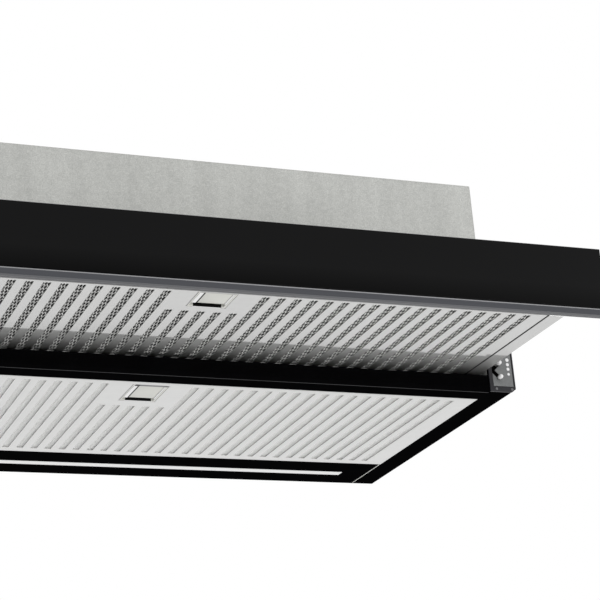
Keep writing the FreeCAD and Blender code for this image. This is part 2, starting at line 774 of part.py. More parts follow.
def make_slides():
    """Three-member ball slides: outer on the cheek, inner on the drawer rail."""
    skin = "slide_skin"
    low = f"{DRAWER_BOTTOM} + slide_lift"
    members = (
        ("outer", "cheek_half", f"cheek_half - {skin}", "cheek_half - 7.4", "0",
         f"{BODY_FRONT} + slide_lead"),
        ("middle", "cheek_half - 1.8", f"cheek_half - 1.8 - {skin}", "cheek_half - 10.9", "2",
         f"{BODY_FRONT} + slide_lead + 4 - travel / 2"),
        ("inner", f"rail_wall + {skin}", f"rail_wall + 2 * {skin}", "rail_wall + 5.4", "4",
         f"{BODY_FRONT} + slide_lead + 8 - travel"),
    )
    for name, side in (("left", -1), ("right", 1)):
        for member, back, web, tip, inset, front in members:
            bottom = f"{low} + {inset}"
            top = f"{low} + slide_tall - {inset}"
            outline = [(back, bottom), (tip, bottom), (tip, f"{bottom} + {skin}"),
                       (web, f"{bottom} + {skin}"), (web, f"{top} - {skin}"),
                       (tip, f"{top} - {skin}"), (tip, top), (back, top)]
            outline = [(f"{side} * ({x})", z) for x, z in outline]
            shorter = "20" if member == "inner" else "4" if member == "middle" else "0"
            profile_along_y(f"slide_{member}_{name}", outline, front,
                            f"slide_length - {shorter}")


def make_drawer():
    """Side rails, cross rails and the cover plate of the drawer."""
    low = DRAWER_BOTTOM
    for name, side in (("left", -1), ("right", 1)):
        outline = [("rail_inner", low), ("rail_outer", low), ("rail_outer", f"{low} + rail_skin"),
                   ("rail_wall + rail_skin", f"{low} + rail_skin"),
                   ("rail_wall + rail_skin", f"{low} + drawer_height"),
                   ("rail_wall", f"{low} + drawer_height"), ("rail_wall", f"{low} + rail_skin"),
                   ("rail_inner", f"{low} + rail_skin")]
        outline = [(f"{side} * ({x})", z) for x, z in outline]
        profile_along_y(f"drawer_side_{name}", outline, f"{TRIM_REAR} + {GAP}", "rail_length")
    web = f"{GLASS_FRONT} + glass_skin + tape_skin"
    head = f"{low} + drawer_height"
    profile_along_x("drawer_front_rail", [
        (web, f"{low} + trim_web"), (f"{web} + steel", f"{low} + trim_web"),
        (f"{web} + steel", f"{head} - steel"), (TRIM_REAR, f"{head} - steel"),
        (TRIM_REAR, head), (web, head)], "rail_outer")
    rear = f"{BODY_FRONT} + {GAP}"
    profile_along_x("drawer_rear_rail", [
        (rear, f"{head} - 11"), (f"{rear} + steel", f"{head} - 11"),
        (f"{rear} + steel", f"{head} - steel"), (f"{rear} + 12", f"{head} - steel"),
        (f"{rear} + 12", head), (rear, head)], "rail_wall")
    keep(box(across("rail_wall + rail_skin"), (web, f"{web} + cover_length"),
             (head, f"{head} + cover_skin")), "drawer_top_cover")


def make_front():
    """Glass, its tape, the aluminium trim under it, end caps and buffers."""
    low = DRAWER_BOTTOM
    front = GLASS_FRONT
    back = f"{GLASS_FRONT} + glass_skin"
    foot = f"{low} + trim_height"
    pane = new_body()
    sheet_pad = pad(pane, "YZ_Plane", rectangle((front, back), (foot, f"{foot} + glass_height")),
                    "glass_width", midplane=True)
    doc.recompute()
    polish = pane.newObject("PartDesign::Chamfer", "polish")
    edges = []
    for number, edge in enumerate(sheet_pad.Shape.Edges, start=1):
        along = edge.BoundBox
        if along.XLength > 1 and abs(along.YMin - sheet_pad.Shape.BoundBox.YMin) < 0.01:
            edges.append(f"Edge{number}")
    polish.Base = (sheet_pad, edges)
    polish.Size = 0.6
    pane.Tip = polish
    keep(pane, "glass_panel")
    keep(box(across("rail_outer"), (back, f"{back} + tape_skin"),
             (f"{foot} + 1", f"{low} + drawer_height")), "glass_tape")
    tape_back = f"{back} + tape_skin"
    profile_along_x("front_trim", [
        (front, low), (TRIM_REAR, low), (TRIM_REAR, f"{low} + trim_web"),
        (tape_back, f"{low} + trim_web"), (tape_back, foot), (front, foot)], "glass_width / 2")
    caps = [box(sided(side, "glass_width / 2", "glass_width / 2 + cap_skin"),
                (front, TRIM_REAR), (low, foot)) for side in (-1, 1)]
    keep(gather(*caps), "trim_end_caps")
    buffers = [rod(f"{side} * 285", back, f"{low} + 40", "buffer_radius", "buffer_length", "Y")
               for side in (-1, 1)]
    keep(gather(*buffers), "drawer_buffers")


# ---------------------------------------------------------------- grease filters


def make_filter(name, half, deep, tail, front, low, long_slots, slot_start, slot_end,
                short_start, latch, post):
    """Slotted tray with a rolled rear hem, mesh pack, retaining frame and hinge pins.

    The tail is the part of the tray behind its hinge pins.

    Slots are numbered from the middle one, and the five middle ones are short,
    because the latch sits in front of them.
    """
    tray = new_body()
    outer = pad(tray, "XY_Plane", rectangle(across(half), ("0", deep)), "filter_tall")
    doc.recompute()
    hem = tray.newObject("PartDesign::Fillet", "hem")
    rear_edges = []
    for number, edge in enumerate(outer.Shape.Edges, start=1):
        along = edge.BoundBox
        at_rear = along.YMin > outer.Shape.BoundBox.YMax - 0.01
        if at_rear and along.ZMax < 0.01:
            rear_edges.append(f"Edge{number}")
    hem.Base = (outer, rear_edges)
    hem.setExpression("Radius", bind("hem_radius"))
    tray.Tip = hem
    well = pad_pocket(tray, half, deep)
    tray.Tip = well
    for number, first, count in ((0, 3, long_slots), (1, -2, 5), (2, -2 - long_slots, long_slots)):
        start = short_start if number == 1 else slot_start
        left = f"{first} * slot_pitch - slot_wide / 2"
        slot = pocket(tray, "XY_Plane",
                      [rectangle((left, f"{left} + slot_wide"), (start, slot_end))])
        repeat(tray, slot, "X_Axis", count, f"{count - 1} * slot_pitch")
    latch_y0, latch_y1 = latch
    pocket(tray, "XY_Plane", [rectangle(across("latch_half + 0.1"),
                                        (f"{latch_y0} - 0.1", f"{latch_y1} + 0.1"))])
    hinge = f"{deep} - {tail} - hem_radius"
    pocket(tray, "YZ_Plane", [], [(hinge, "hem_radius", "pin_radius + pin_gap")])
    tongue = new_sketch(tray, "XZ_Plane")
    add_polygon(tongue, rectangle(across("8.4"), ("1.5", "3.5")))
    slit = tray.newObject("PartDesign::Pocket", "tongue_slit")
    slit.Profile = tongue
    slit.setExpression("Length", bind("2 * filter_wall"))
    slit.Reversed = False
    slit.Midplane = True
    place(tray, y=front, z=low)
    keep(tray, f"{name}_filter_tray")

    inner = f"{half} - filter_wall - 1.6"
    pack = box(across(inner), (f"{front} + 2", f"{front} + {deep} - 5"),
               (f"{low} + filter_skin", f"{low} + filter_skin + mesh_skin"))
    bay = box(across("latch_half + 0.6"), (f"{front} - 1", f"{front} + {latch_y1} + 0.6"),
              (f"{low} - 1", f"{low} + filter_tall + 1"))
    keep(cut(pack, bay), f"{name}_filter_mesh")

    frame = new_body()
    pad(frame, "XY_Plane", rectangle(across(f"{half} - filter_wall"),
                                     ("filter_wall", f"{deep} - filter_wall")), "retainer_skin")
    bay_wide = f"(2 * ({half}) - 20) / 8"
    left = f"-({half}) + 10"
    window = pocket(frame, "XY_Plane",
                    [rectangle((f"{left} + 4", f"{left} + {bay_wide} - 4"),
                               (f"{latch_y1} + 4", f"{deep} - 12"))])
    repeat(frame, window, "X_Axis", 8, f"7 * {bay_wide}")
    place(frame, y=front, z=f"{low} + filter_tall - retainer_skin")
    keep(frame, f"{name}_filter_retainer")

    pins = []
    for side in (-1, 1):
        span = sided(side, f"{half} - 2.2", post)
        pins.append(rod(span[0], f"{front} + {hinge}", f"{low} + hem_radius",
                        "pin_radius", f"({span[1]}) - ({span[0]})", "X"))
    keep(gather(*pins), f"{name}_filter_pins")


def pad_pocket(body, half, deep):
    """Hollow of a filter tray, cut from above down to its slotted skin."""
    inner = rectangle(across(f"{half} - filter_wall"), ("filter_wall", f"{deep} - filter_wall"))
    sketch = new_sketch(body, "XY_Plane")
    sketch.AttachmentOffset = FreeCAD.Placement(FreeCAD.Vector(0, 0, cell("filter_skin")),
                                                FreeCAD.Rotation())
    add_polygon(sketch, inner)
    well = body.newObject("PartDesign::Pocket", "well")
    well.Profile = sketch
    well.Type = "ThroughAll"
    well.Reversed = True
    return well


def make_latch(name, front, low, cup, plate_start, finger_room):
    """Latch cup set into a filter, and the sliding finger plate with its tongue."""
    cup_start, cup_end = cup
    outer = box(across("latch_half"), (f"{front} + {cup_start}", f"{front} + {cup_end}"),
                (low, f"{low} + latch_tall"))
    room = box(across("latch_half - latch_wall"),
               (f"{front} + {cup_start} + latch_wall", f"{front} + {cup_end} - latch_wall"),
               (f"{low} - 1", f"{low} + latch_tall - 1.2"))
    slit = box(across("8.4"), (f"{front} + {cup_start} - 1", f"{front} + {cup_start} + 3"),
               (f"{low} + 1.5", f"{low} + 3.5"))
    keep(cut(outer, room, slit), f"{name}_latch_cup")

    plate_end = f"{front} + {cup_end} - latch_wall - {finger_room}"
    plate = box(across("latch_half - latch_wall - 0.3"), (f"{front} + {plate_start}", plate_end),
                (f"{low} + 0.3", f"{low} + 1.7"))
    tongue = box(across("8"), (f"{front} - 1.9", f"{front} + {plate_start} + 2"),
                 (f"{low} + 1.7", f"{low} + 3.3"))
    finger = box(across("latch_half - latch_wall - 0.3"), (f"{plate_end} - 1.4", plate_end),
                 (f"{low} + 0.3", f"{low} + 5.4"))
    keep(fuse(plate, tongue, finger), f"{name}_latch_slider")


def make_filters():
    """Front filter in the drawer and rear filter in the fixed body."""
    front = f"{TRIM_REAR} + {GAP}"
    make_filter("front", "front_half", "front_deep", "front_tail", front, DRAWER_BOTTOM, 18,
                "2.6", "front_deep - 3", "37.2", ("1.2", "29"), "rail_wall")
    make_latch("front", front, DRAWER_BOTTOM, ("1.2", "29"), "3.4", "4.2")
    front = f"{BODY_FRONT} + front_border + {GAP}"
    make_filter("rear", "rear_half", "rear_deep", "0", front, BODY_BOTTOM, 19,
                "7", "181.5", "58", ("6", "45.4"), "cheek_half")
    make_latch("rear", front, BODY_BOTTOM, ("6", "45.4"), "8.4", "4.2")


make_housing()
make_partition()
make_lower_body()
make_cheeks()
make_rear_light_panel()
make_light()
make_control_panel()
make_knobs()
make_microswitch()
make_spigot()
make_flaps()
make_discharge_duct()
make_blower()
make_impeller()
make_motor()
make_electrics()
make_slides()
make_drawer()
make_front()
make_filters()
doc.recompute()

faults = []
for thing in doc.Objects:
    if {"Invalid", "Error"} & set(thing.State):
        faults.append(f"{thing.Label} ({thing.Name}): {thing.State}")
for node in nodes:
    if node.Shape.isNull() or not node.Shape.isValid():
        faults.append(f"{node.Label}: shape is null or not valid")
if faults:
    raise RuntimeError("\n".join(faults))

os.makedirs("parts", exist_ok=True)
for node in nodes:
    node.Shape.exportStep(f"parts/{node.Label}.step")
print(len(nodes), "sub-parts written")
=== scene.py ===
import json
import math
import random

import bmesh
import bpy
from mathutils import Matrix, Vector

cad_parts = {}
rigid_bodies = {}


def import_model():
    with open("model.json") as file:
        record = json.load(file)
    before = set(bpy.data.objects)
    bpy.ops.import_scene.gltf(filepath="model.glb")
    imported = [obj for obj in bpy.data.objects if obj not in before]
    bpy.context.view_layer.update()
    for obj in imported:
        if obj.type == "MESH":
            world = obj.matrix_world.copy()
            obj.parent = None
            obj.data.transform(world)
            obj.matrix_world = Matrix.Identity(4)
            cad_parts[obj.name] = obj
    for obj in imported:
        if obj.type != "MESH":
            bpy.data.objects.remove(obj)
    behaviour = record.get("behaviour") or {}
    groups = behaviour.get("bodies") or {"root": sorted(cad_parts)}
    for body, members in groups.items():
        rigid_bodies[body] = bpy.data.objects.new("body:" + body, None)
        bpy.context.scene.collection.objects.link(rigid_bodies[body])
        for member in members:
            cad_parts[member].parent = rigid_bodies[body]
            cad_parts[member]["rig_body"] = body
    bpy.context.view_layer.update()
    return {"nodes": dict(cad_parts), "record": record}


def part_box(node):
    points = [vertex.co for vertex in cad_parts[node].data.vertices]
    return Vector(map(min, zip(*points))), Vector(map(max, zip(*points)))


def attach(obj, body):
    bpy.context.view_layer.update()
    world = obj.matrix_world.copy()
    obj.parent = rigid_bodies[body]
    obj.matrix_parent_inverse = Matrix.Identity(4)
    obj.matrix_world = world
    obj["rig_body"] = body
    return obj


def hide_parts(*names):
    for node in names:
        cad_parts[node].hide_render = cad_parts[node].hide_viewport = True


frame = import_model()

MM = 0.001
WELD = 0.002 * MM
NEAR = 0.01 * MM
random.seed(7)


# ---------------------------------------------------------------- materials


class Material:
    """A principled material with short helpers for its procedural nodes."""

    def __init__(self, name, color, roughness, metallic=0.0, specular=0.5):
        self.material = bpy.data.materials.new(name)
        self.material.use_nodes = True
        self.tree = self.material.node_tree
        self.shader = self.tree.nodes["Principled BSDF"]
        self.color = (*color, 1.0)
        self.shader.inputs["Base Color"].default_value = self.color
        self.shader.inputs["Roughness"].default_value = roughness
        self.shader.inputs["Metallic"].default_value = metallic
        self.shader.inputs["Specular IOR Level"].default_value = specular
        self.place = self.tree.nodes.new("ShaderNodeTexCoord").outputs["Object"]

    def node(self, kind, **values):
        """New node; values set its named inputs."""
        made = self.tree.nodes.new(kind)
        for key, value in values.items():
            made.inputs[key.replace("_", " ")].default_value = value
        return made

    def link(self, source, target):
        self.tree.links.new(source, target)

    def stretched(self, x, y, z):
        """Object coordinates scaled along each axis, in cycles per metre."""
        mapping = self.node("ShaderNodeMapping")
        mapping.inputs["Scale"].default_value = (x, y, z)
        self.link(self.place, mapping.inputs["Vector"])
        return mapping.outputs["Vector"]

    def noise(self, scale, detail=3.0, vector=None):
        """Noise value from 0 to 1 at a scale in cycles per metre."""
        made = self.node("ShaderNodeTexNoise", Scale=scale, Detail=detail)
        self.link(vector or self.place, made.inputs["Vector"])
        return made.outputs["Fac"]

    def grain(self, scale):
        """Random value from 0 to 1 for each crystal of about 1 / scale metres."""
        made = self.node("ShaderNodeTexVoronoi", Scale=scale)
        self.link(self.place, made.inputs["Vector"])
        split = self.node("ShaderNodeSeparateColor")
        self.link(made.outputs["Color"], split.inputs["Color"])
        return split.outputs[0]

    def ramp(self, value, low, high):
        """Map 0..1 to low..high."""
        made = self.node("ShaderNodeMapRange")
        made.inputs["To Min"].default_value = low
        made.inputs["To Max"].default_value = high
        self.link(value, made.inputs["Value"])
        return made.outputs["Result"]

    def shade(self, value, low, high, base=None):
        """Multiply the base colour by low..high as value goes from 0 to 1."""
        gain = self.ramp(value, low, high)
        mix = self.tree.nodes.new("ShaderNodeVectorMath")
        mix.operation = "SCALE"
        if base is None:
            mix.inputs[0].default_value = self.color[:3]
        else:
            self.link(base, mix.inputs[0])
        self.link(gain, mix.inputs["Scale"])
        self.link(mix.outputs["Vector"], self.shader.inputs["Base Color"])
        return mix.outputs["Vector"]

    def rough(self, value, low, high):
        """Roughness from low to high as value goes from 0 to 1."""
        self.link(self.ramp(value, low, high), self.shader.inputs["Roughness"])

    def bump(self, value, strength, distance):
        """Bump from a height value; distance is in metres."""
        made = self.node("ShaderNodeBump", Strength=strength, Distance=distance)
        self.link(value, made.inputs["Height"])
        self.link(made.outputs["Normal"], self.shader.inputs["Normal"])

    def coat(self, weight, roughness, ior):
        """Clear coat with the same values all over."""
        self.shader.inputs["Coat Weight"].default_value = weight
        self.shader.inputs["Coat Roughness"].default_value = roughness
        self.shader.inputs["Coat IOR"].default_value = ior


def galvanised():
    """Zinc-coated steel with fine and coarse spangle and rolling clouds."""
    made = Material("galvanised", (0.47, 0.475, 0.455), 0.5, 0.25)
    cloud = made.shade(made.noise(9.0, 4.0), 0.88, 1.12)
    streak = made.shade(made.noise(1.0, 4.0, made.stretched(75.0, 75.0, 9.0)), 0.86, 1.14, cloud)
    coarse = made.shade(made.grain(420.0), 0.95, 1.05, streak)
    made.shade(made.noise(1000.0, 2.0), 0.62, 1.38, coarse)
    made.rough(made.grain(330.0), 0.36, 0.62)
    made.bump(made.noise(900.0, 3.0), 0.25, 0.0002)
    return made


def black_paint():
    """Deep black enamel with slight orange peel."""
    made = Material("black_paint", (0.0018, 0.0018, 0.002), 0.35, 0.0, 0.0)
    made.shade(made.noise(60.0), 0.7, 1.4)
    made.rough(made.noise(300.0), 0.26, 0.36)
    made.bump(made.noise(700.0), 0.08, 0.0001)
    return made


def black_glass():
    """Back-painted glass, with painted shade that makes it darker towards its lower edge."""
    made = Material("black_glass", (0.0062, 0.0062, 0.0064), 0.05, 0.0, 0.05)
    low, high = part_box("glass_panel")
    split = made.node("ShaderNodeSeparateXYZ")
    made.link(made.place, split.inputs["Vector"])
    rise = made.node("ShaderNodeMapRange")
    rise.inputs["From Min"].default_value = low.z
    rise.inputs["From Max"].default_value = low.z + 0.35 * (high.z - low.z)
    made.link(split.outputs["Z"], rise.inputs["Value"])
    # painted shade: the base colour falls to a quarter towards the glass's lower edge
    lower_edge_shade = made.shade(rise.outputs["Result"], 0.25, 1.0)
    made.shade(made.noise(14.0, 2.0), 0.92, 1.08, lower_edge_shade)
    made.rough(made.noise(25.0), 0.03, 0.07)
    return made


def trim_aluminium():
    """Dark anodised extrusion with fine lines along its length."""
    made = Material("trim_aluminium", (0.052, 0.054, 0.062), 0.35, 0.3, 0.4)
    lines = made.noise(1.0, 2.0, made.stretched(8.0, 3000.0, 3000.0))
    made.shade(lines, 0.85, 1.15)
    made.rough(lines, 0.28, 0.42)
    return made


def filter_aluminium():
    """Pressed aluminium sheet with rolling grain, thin lacquer and small marks."""
    made = Material("filter_aluminium", (0.55, 0.55, 0.54), 0.4, 1.0)
    lines = made.noise(1.0, 3.0, made.stretched(12.0, 900.0, 900.0))
    grain = made.shade(lines, 0.95, 1.04)
    made.shade(made.noise(45.0, 5.0), 0.94, 1.05, grain)
    made.rough(made.noise(80.0, 4.0), 0.34, 0.46)
    made.coat(1.0, 0.03, 3.0)
    return made


def filter_mesh(name, color, low, high, metallic=0.8):
    """Expanded aluminium strands, some bright and some dulled."""
    made = Material(name, color, 0.35, metallic)
    made.shade(made.noise(900.0, 2.0), low, high)
    made.rough(made.noise(500.0), 0.25, 0.5)
    return made


def rail_aluminium():
    """Satin light extrusion of the drawer's sides."""
    made = Material("rail_aluminium", (0.52, 0.52, 0.51), 0.4, 0.9)
    lines = made.noise(1.0, 3.0, made.stretched(1800.0, 10.0, 1800.0))
    made.shade(lines, 0.93, 1.06)
    made.rough(lines, 0.34, 0.46)
    made.coat(1.0, 0.04, 2.6)
    return made


def plastic(name, color, roughness, specular=0.4, texture=1400.0):
    """Moulded plastic with a fine spark-eroded texture."""
    made = Material(name, color, roughness, 0.0, specular)
    made.shade(made.noise(35.0, 3.0), 0.93, 1.07)
    made.rough(made.noise(texture, 2.0), roughness * 0.85, roughness * 1.15)
    made.bump(made.noise(texture, 2.0), 0.12, 0.00015)
    return made


def fascia_paint():
    """Grey printed fascia with a metallic flake."""
    made = Material("fascia", (0.15, 0.155, 0.155), 0.45, 0.2)
    made.shade(made.grain(2600.0), 0.85, 1.18)
    made.rough(made.noise(600.0), 0.38, 0.55)
    return made


def lens_plastic():
    """Milky light lens that glows faintly."""
    made = Material("lens", (0.74, 0.74, 0.74), 0.4)
    value = made.shade(made.noise(22.0, 2.0), 0.94, 1.03)
    made.link(value, made.shader.inputs["Emission Color"])
    made.shader.inputs["Emission Strength"].default_value = 0.08
    made.bump(made.noise(1800.0), 0.1, 0.0001)
    return made


def steel(name, color, roughness):
    """Machined or zinc-plated steel."""
    made = Material(name, color, roughness, 0.9)
    lines = made.noise(1.0, 3.0, made.stretched(2200.0, 60.0, 2200.0))
    made.shade(lines, 0.82, 1.1)
    made.rough(lines, roughness * 0.8, roughness * 1.25)
    return made


def board_material():
    """White solder mask with faint copper tracks under it."""
    made = Material("board", (0.78, 0.80, 0.76), 0.35)
    tracks = made.noise(1.0, 1.0, made.stretched(40.0, 900.0, 10.0))
    made.shade(tracks, 0.85, 1.05)
    made.rough(made.noise(900.0), 0.3, 0.45)
    return made


def rubber():
    """Dull black rubber."""
    made = Material("rubber", (0.02, 0.02, 0.02), 0.75, 0.0, 0.2)
    made.shade(made.noise(400.0), 0.8, 1.2)
    made.bump(made.noise(1200.0), 0.2, 0.0002)
    return made


MATERIALS = {
    "galvanised": galvanised(),
    "black_paint": black_paint(),
    "black_glass": black_glass(),
    "trim_aluminium": trim_aluminium(),
    "filter_aluminium": filter_aluminium(),
    "filter_mesh": filter_mesh("filter_mesh", (0.42, 0.42, 0.41), 0.25, 1.5),
    "rail_aluminium": rail_aluminium(),
    "latch_plastic": plastic("latch_plastic", (0.62, 0.62, 0.58), 0.42),
    "bezel_plastic": plastic("bezel_plastic", (0.017, 0.017, 0.020), 0.42, 0.25),
    "fascia": fascia_paint(),
    "switch_plastic": plastic("switch_plastic", (0.004, 0.004, 0.004), 0.6, 0.1),
    "knob": plastic("knob", (0.80, 0.80, 0.80), 0.2, 0.6, 300.0),
    "lens": lens_plastic(),
    "board": board_material(),
    "blower_plastic": plastic("blower_plastic", (0.03, 0.03, 0.03), 0.5),
    "duct_plastic": plastic("duct_plastic", (0.022, 0.022, 0.023), 0.42),
    "motor_steel": steel("motor_steel", (0.45, 0.46, 0.47), 0.35),
    "slide_steel": steel("slide_steel", (0.60, 0.61, 0.63), 0.3),
    "rubber": rubber(),
}
FRONT_STRANDS = filter_mesh("front_strands", (0.86, 0.86, 0.84), 0.4, 1.6, 0.2)
# painted shade: a dark copy of the mesh finish for the deeper layers inside the front pack
SHADED_LAYERS = filter_mesh("painted_shade_layers", (0.15, 0.15, 0.148), 0.5, 1.5, 0.2)
# painted light: a near-white copy of the mesh finish that makes the rear mesh look brightly lit
LIT_MESH = filter_mesh("painted_light_mesh", (0.97, 0.97, 0.96), 0.85, 1.03, 0.1)
# painted highlight along the top front edge of the trim
TRIM_HIGHLIGHT_PAINT = steel("trim_highlight_paint", (0.30, 0.30, 0.31), 0.3)
# grey: painted highlight on the glass and trim, painted shade in the rear latch opening, and the
# own colour of the bezel screws and latch cup joints
GREY_LINE = plastic("grey_line", (0.15, 0.15, 0.155), 0.4)
# painted shade in the opening before the front latch
LATCH_OPENING_SHADE = plastic("latch_opening_shade", (0.42, 0.42, 0.41), 0.4)
# painted highlight on the rounded bend under the lower body's front
BEND_HIGHLIGHT_PAINT = plastic("bend_highlight_paint", (0.022, 0.022, 0.024), 0.4, 0.1)
SLOT_OF = {item["node"]: item["material_slot"] for item in frame["record"]["subparts"]}
BODY_OF = {node: item["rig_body"] for node, item in frame["nodes"].items()}


def paint(piece, material):
    """Give a piece one material."""
    piece.data.materials.clear()
    piece.data.materials.append(material.material)


# ---------------------------------------------------------------- pieces


def finished_mesh(name, work):
    """Mesh of an edit, with its faces turned outwards."""
    bmesh.ops.recalc_face_normals(work, faces=work.faces)
    mesh = bpy.data.meshes.new(name)
    work.to_mesh(mesh)
    work.free()
    return mesh


def add_piece(name, mesh, body, slot, material=None):
    """Link a mesh as a piece that rides on a body."""
    piece = bpy.data.objects.new(name, mesh)
    bpy.context.scene.collection.objects.link(piece)
    paint(piece, material or MATERIALS[slot])
    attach(piece, body)
    return piece


def add_bevel(piece, width, segments=2, angle=30):
    """Rounded edges with clean shading."""
    bevel = piece.modifiers.new("edges", "BEVEL")
    bevel.width = width
    bevel.segments = segments
    bevel.limit_method = "ANGLE"
    bevel.angle_limit = math.radians(angle)
    bevel.harden_normals = True
    for polygon in piece.data.polygons:
        polygon.use_smooth = True


def softened(node, width, segments=2, angle=30, material=None, flat=False, recess=0.0):
    """Stand-in for a CAD node: the same shape with its edges rounded.

    Its lowest face can be set in by a recess, and flat keeps mirror faces free of smoothing.
    """
    source = frame["nodes"][node]
    work = bmesh.new()
    work.from_mesh(source.data)
    bmesh.ops.remove_doubles(work, verts=work.verts, dist=WELD)
    bmesh.ops.dissolve_limit(work, angle_limit=math.radians(1.0), verts=work.verts,
                             edges=work.edges)
    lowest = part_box(node)[0].z
    for vertex in work.verts:
        if vertex.co.z < lowest + NEAR:
            vertex.co.z += recess
    mesh = finished_mesh(node + "_finished", work)
    piece = add_piece(node + "_finished", mesh, BODY_OF[node], SLOT_OF[node], material)
    add_bevel(piece, width, segments, angle)
    if flat:
        piece.modifiers["edges"].harden_normals = False
        for polygon in piece.data.polygons:
            polygon.use_smooth = False
    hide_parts(node)
    return piece


def extruded_x(name, outline, left, right, body, slot, bevel, material=None):
    """Closed outline in Y and Z, drawn from left to right."""
    work = bmesh.new()
    rings = [[work.verts.new((x, y, z)) for y, z in outline] for x in (left, right)]
    count = len(outline)
    for i in range(count):
        j = (i + 1) % count
        work.faces.new((rings[0][i], rings[0][j], rings[1][j], rings[1][i]))
    work.faces.new(rings[0])
    work.faces.new(rings[1])
    piece = add_piece(name, finished_mesh(name, work), body, slot, material)
    add_bevel(piece, bevel)
    return piece


def bar(name, x, y, z, body, slot, material=None):
    """Slim bar with rounded edges between pairs of places along each axis."""
    outline = [(y[0], z[0]), (y[1], z[0]), (y[1], z[1]), (y[0], z[1])]
    return extruded_x(name, outline, x[0], x[1], body, slot,
                      0.2 * min(y[1] - y[0], z[1] - z[0]), material)


def lathe(name, outline, place, axis, body, slot, sides=32, material=None):
    """Outline of (radius, height) pairs turned about an axis through a point."""
    turn = Vector((0, 0, 1)).rotation_difference(Vector(axis)).to_matrix()
    work = bmesh.new()
    rings = []
    for radius, height in outline:
        ring = []
        for i in range(sides):
            angle = math.tau * i / sides
            point = Vector((radius * math.cos(angle), radius * math.sin(angle), height))
            ring.append(work.verts.new(Vector(place) + turn @ point))
        rings.append(ring)
    for lower, upper in zip(rings, rings[1:]):
        for i in range(sides):
            j = (i + 1) % sides
            work.faces.new((lower[i], lower[j], upper[j], upper[i]))
    work.faces.new(rings[0])
    work.faces.new(rings[-1])
    piece = add_piece(name, finished_mesh(name, work), body, slot, material)
    add_bevel(piece, 0.15 * MM, 2, 40)
    return piece


# ---------------------------------------------------------------- fixed body


SIDES = {"left": -1, "right": 1}


def mirrored(side, inner, outer):
    """Two distances from the middle plane as places on one side, from left to right."""
    return sorted((side * inner, side * outer))


def make_sheet_metal():
    """Folded steel parts with slightly rounded bends."""
    for node in ("housing_box", "lower_body"):
        softened(node, 0.4 * MM, flat=True)
    for node in ("partition_plate", "rear_light_panel"):
        softened(node, 0.3 * MM, flat=True)
    for side in ("left", "right"):
        softened(f"cheek_{side}", 0.3 * MM)
        softened(f"drawer_side_{side}", 0.25 * MM, flat=True)
        for member in ("outer", "middle", "inner"):
            softened(f"slide_{member}_{side}", 0.3 * MM)
    for node in ("drawer_front_rail", "drawer_rear_rail", "drawer_top_cover"):
        softened(node, 0.25 * MM)


def make_seam_highlights():
    """Thin light strips along the seams between the rear light panel and the side borders: a
    painted highlight.
    """
    low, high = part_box("rear_light_panel")
    bottom = low.z + 0.1 * MM
    top = low.z + 3 * MM
    outline = [(low.y, bottom), (high.y, bottom), (high.y, top), (low.y, top)]
    for name, side in SIDES.items():
        left, right = mirrored(side, high.x + 0.15 * MM, high.x + 1.05 * MM)
        # painted highlight: light strips stand for the highlight along each seam
        extruded_x(f"panel_seam_highlight_{name}", outline, left, right, "hood_body", "latch_plastic",
                   0.2 * MM)


def make_bend_painted_highlight():
    """Painted highlight along the bend under the front of the lower body: a strip of slightly
    lighter black.
    """
    low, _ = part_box("lower_body")
    bezel_low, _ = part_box("control_bezel")
    bar("front_bend_painted_highlight", (low.x + 3 * MM, bezel_low.x),
        (low.y + 2.45 * MM, low.y + 3.1 * MM), (low.z, low.z + 0.4 * MM),
        "hood_body", "black_paint", BEND_HIGHLIGHT_PAINT)


def make_light():
    """Milky lens of the light strip."""
    softened("light_lens", 0.35 * MM, 3)


# ---------------------------------------------------------------- controls


LEVEL_DOTS = ((0.0, 1.5), (3.9, 1.4), (7.7, 1.35), (12.0, 1.15))  # drop and radius in mm
TO_FRONT = (0, -1, 0)


def make_controls():
    """Bezel, fascia, knobs, four printed dots and two small bezel screws."""
    softened("control_bezel", 0.35 * MM, 3)
    softened("control_fascia", 0.2 * MM)
    softened("switch_block", 0.15 * MM)
    make_level_dots()
    low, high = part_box("control_bezel")
    for number, x in enumerate((low.x + 5.4 * MM, high.x - 3.4 * MM)):
        screw_head(f"bezel_screw_{number}", (x, low.y, low.z + 2.3 * MM))
    for node in ("fan_switch_knob", "light_switch_knob"):
        make_knob(node)


def make_level_dots():
    """Row of printed dots down the right side of the fascia, smaller towards its foot."""
    low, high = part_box("control_fascia")
    knob_low, knob_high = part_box("fan_switch_knob")
    first = (knob_low.z + knob_high.z) / 2 + 3.4 * MM
    for number, (drop, size) in enumerate(LEVEL_DOTS):
        radius = size * MM
        outline = [(radius, 0.0), (radius, 0.12 * MM), (0.9 * radius, 0.2 * MM)]
        place = (high.x - 3.4 * MM, low.y, first - drop * MM)
        lathe(f"level_dot_{number}", outline, place, TO_FRONT, "hood_body", "knob", 24)


def make_knob(node):
    """Domed slider knob on a thinner neck."""
    low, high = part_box(node)
    radius = (high.x - low.x) / 2
    neck = 0.54 * radius
    reach = high.y - low.y
    head = 0.5 * reach
    dome = 0.6 * head
    outline = [(neck, 0.0), (neck, reach - head), (0.92 * radius, reach - head),
               (radius, reach - 0.9 * head)]
    steps = 8
    for step in range(1, steps):
        angle = math.pi / 2 * step / steps
        outline.append((radius * math.cos(angle) ** 0.7, reach - dome + dome * math.sin(angle)))
    outline.append((0.05 * radius, reach))
    foot = ((low.x + high.x) / 2, high.y, (low.z + high.z) / 2)
    knob = lathe(node + "_finished", outline, foot, TO_FRONT, BODY_OF[node], "knob", 32)
    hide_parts(node)


